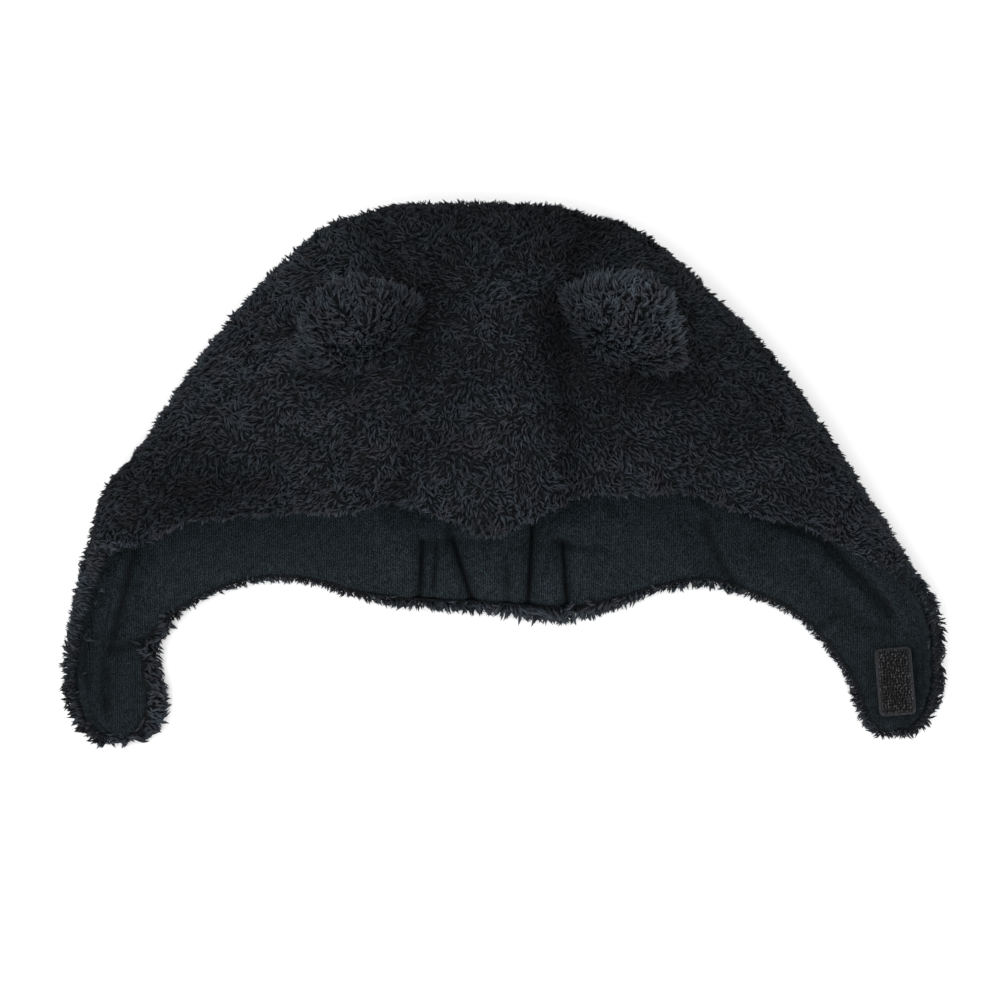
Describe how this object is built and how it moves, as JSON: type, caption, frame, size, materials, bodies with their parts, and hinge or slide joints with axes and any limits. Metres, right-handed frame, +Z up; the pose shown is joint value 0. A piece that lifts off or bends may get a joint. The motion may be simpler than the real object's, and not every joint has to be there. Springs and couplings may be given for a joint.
{
  "type": "baby hat with ears",
  "caption": "Baby's long-pile fleece hat with chin flaps, stuffed ears, knit lining and a gathered nape, lying flat on its back.",
  "frame": {"origin": "the middle of the hat's outline, on the surface that it lies on", "axes": "+X across the two chin flaps, +Y towards the crown's top, -Y out of the face opening, +Z up from the surface"},
  "size_m": [0.3008, 0.1864, 0.0894],
  "materials": {
    "pile_fleece": "long soft pile, matt",
    "knit_lining": "fine knit, matt",
    "hook_tape": "dense small hooks",
    "loop_tape": "fine loops, matt"
  },
  "bodies": {
    "root": {"centre_panel": "pile_fleece", "side_panel_left": "pile_fleece", "side_panel_right": "pile_fleece", "ear_left": "pile_fleece", "ear_right": "pile_fleece", "lining_centre": "knit_lining", "lining_left": "knit_lining", "lining_right": "knit_lining", "hook_patch": "hook_tape", "loop_patch": "loop_tape"}
  },
  "joints": []
}
